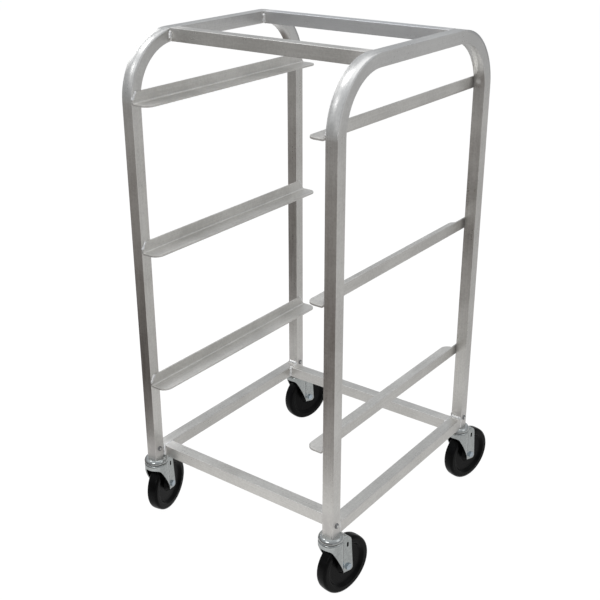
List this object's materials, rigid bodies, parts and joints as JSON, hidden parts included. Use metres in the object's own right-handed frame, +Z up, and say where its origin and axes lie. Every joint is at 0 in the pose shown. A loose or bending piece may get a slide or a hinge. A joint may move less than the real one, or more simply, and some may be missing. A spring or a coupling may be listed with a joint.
{
  "type": "bus box cart",
  "caption": "Open trolley of welded square aluminium tube with bent shoulders and angle ledges that hold bus boxes, on swivel stem casters with black wheels.",
  "frame": {"origin": "on the floor under the middle of the four legs", "axes": "+Z up, +X from the left side frame to the right one, +Y from the front to the back"},
  "size_m": [0.5391, 0.645, 1.068],
  "materials": {
    "aluminium_tube": "mill finish, lightly brushed along the tube",
    "aluminium_angle": "mill finish sheet",
    "zinc_plate": "bright zinc plate on pressed steel",
    "zinc_fasteners": "zinc plated bolts and nuts",
    "steel_stem": "turned steel",
    "steel_balls": "polished bearing balls",
    "black_rubber": "satin black hard rubber"
  },
  "bodies": {
    "frame": {"left_side_frame": "aluminium_tube", "left_base_rail": "aluminium_tube", "left_bottom_ledge": "aluminium_angle", "left_middle_ledge": "aluminium_angle", "left_top_ledge": "aluminium_angle", "right_side_frame": "aluminium_tube", "right_base_rail": "aluminium_tube", "right_bottom_ledge": "aluminium_angle", "right_middle_ledge": "aluminium_angle", "right_top_ledge": "aluminium_angle", "front_top_cross_tube": "aluminium_tube", "front_base_rail": "aluminium_tube", "rear_top_cross_tube": "aluminium_tube", "rear_base_rail": "aluminium_tube", "stem_bolts": "zinc_fasteners", "stem_nuts": "zinc_fasteners", "front_left_stem": "steel_stem", "front_left_upper_race": "zinc_plate", "front_left_race_balls": "steel_balls", "front_left_lower_race": "zinc_plate", "front_right_stem": "steel_stem", "front_right_upper_race": "zinc_plate", "front_right_race_balls": "steel_balls", "front_right_lower_race": "zinc_plate", "rear_left_stem": "steel_stem", "rear_left_upper_race": "zinc_plate", "rear_left_race_balls": "steel_balls", "rear_left_lower_race": "zinc_plate", "rear_right_stem": "steel_stem", "rear_right_upper_race": "zinc_plate", "rear_right_race_balls": "steel_balls", "rear_right_lower_race": "zinc_plate"},
    "front_left_fork": {"front_left_fork": "zinc_plate", "front_left_axle_bolt": "zinc_fasteners", "front_left_axle_nut": "zinc_fasteners", "front_left_axle_sleeve": "steel_stem"},
    "front_left_wheel": {"front_left_wheel": "black_rubber", "front_left_hub_bushing": "steel_stem"},
    "front_right_fork": {"front_right_fork": "zinc_plate", "front_right_axle_bolt": "zinc_fasteners", "front_right_axle_nut": "zinc_fasteners", "front_right_axle_sleeve": "steel_stem"},
    "front_right_wheel": {"front_right_wheel": "black_rubber", "front_right_hub_bushing": "steel_stem"},
    "rear_left_fork": {"rear_left_fork": "zinc_plate", "rear_left_axle_bolt": "zinc_fasteners", "rear_left_axle_nut": "zinc_fasteners", "rear_left_axle_sleeve": "steel_stem"},
    "rear_left_wheel": {"rear_left_wheel": "black_rubber", "rear_left_hub_bushing": "steel_stem"},
    "rear_right_fork": {"rear_right_fork": "zinc_plate", "rear_right_axle_bolt": "zinc_fasteners", "rear_right_axle_nut": "zinc_fasteners", "rear_right_axle_sleeve": "steel_stem"},
    "rear_right_wheel": {"rear_right_wheel": "black_rubber", "rear_right_hub_bushing": "steel_stem"}
  },
  "joints": [
    {"name": "front_left_swivel", "type": "hinge", "parent": "frame", "child": "front_left_fork", "pos_m": [-0.23705, -0.2593, 0.13], "axis": [0, 0, 1], "continuous": true},
    {"name": "front_left_roll", "type": "hinge", "parent": "front_left_fork", "child": "front_left_wheel", "pos_m": [-0.24439, -0.22672, 0.0635], "axis": [0.9755, 0.2198, 0], "continuous": true},
    {"name": "front_right_swivel", "type": "hinge", "parent": "frame", "child": "front_right_fork", "pos_m": [0.23705, -0.2593, 0.13], "axis": [0, 0, 1], "continuous": true},
    {"name": "front_right_roll", "type": "hinge", "parent": "front_right_fork", "child": "front_right_wheel", "pos_m": [0.24285, -0.22641, 0.0635], "axis": [0.9848, -0.1736, 0], "continuous": true},
    {"name": "rear_left_swivel", "type": "hinge", "parent": "frame", "child": "rear_left_fork", "pos_m": [-0.23705, 0.2593, 0.13], "axis": [0, 0, 1], "continuous": true},
    {"name": "rear_left_roll", "type": "hinge", "parent": "rear_left_fork", "child": "rear_left_wheel", "pos_m": [-0.22942, 0.29182, 0.0635], "axis": [0.9736, -0.2284, 0], "continuous": true},
    {"name": "rear_right_swivel", "type": "hinge", "parent": "frame", "child": "rear_right_fork", "pos_m": [0.23705, 0.2593, 0.13], "axis": [0, 0, 1], "continuous": true},
    {"name": "rear_right_roll", "type": "hinge", "parent": "rear_right_fork", "child": "rear_right_wheel", "pos_m": [0.24445, 0.29187, 0.0635], "axis": [0.9751, -0.2215, 0], "continuous": true}
  ]
}
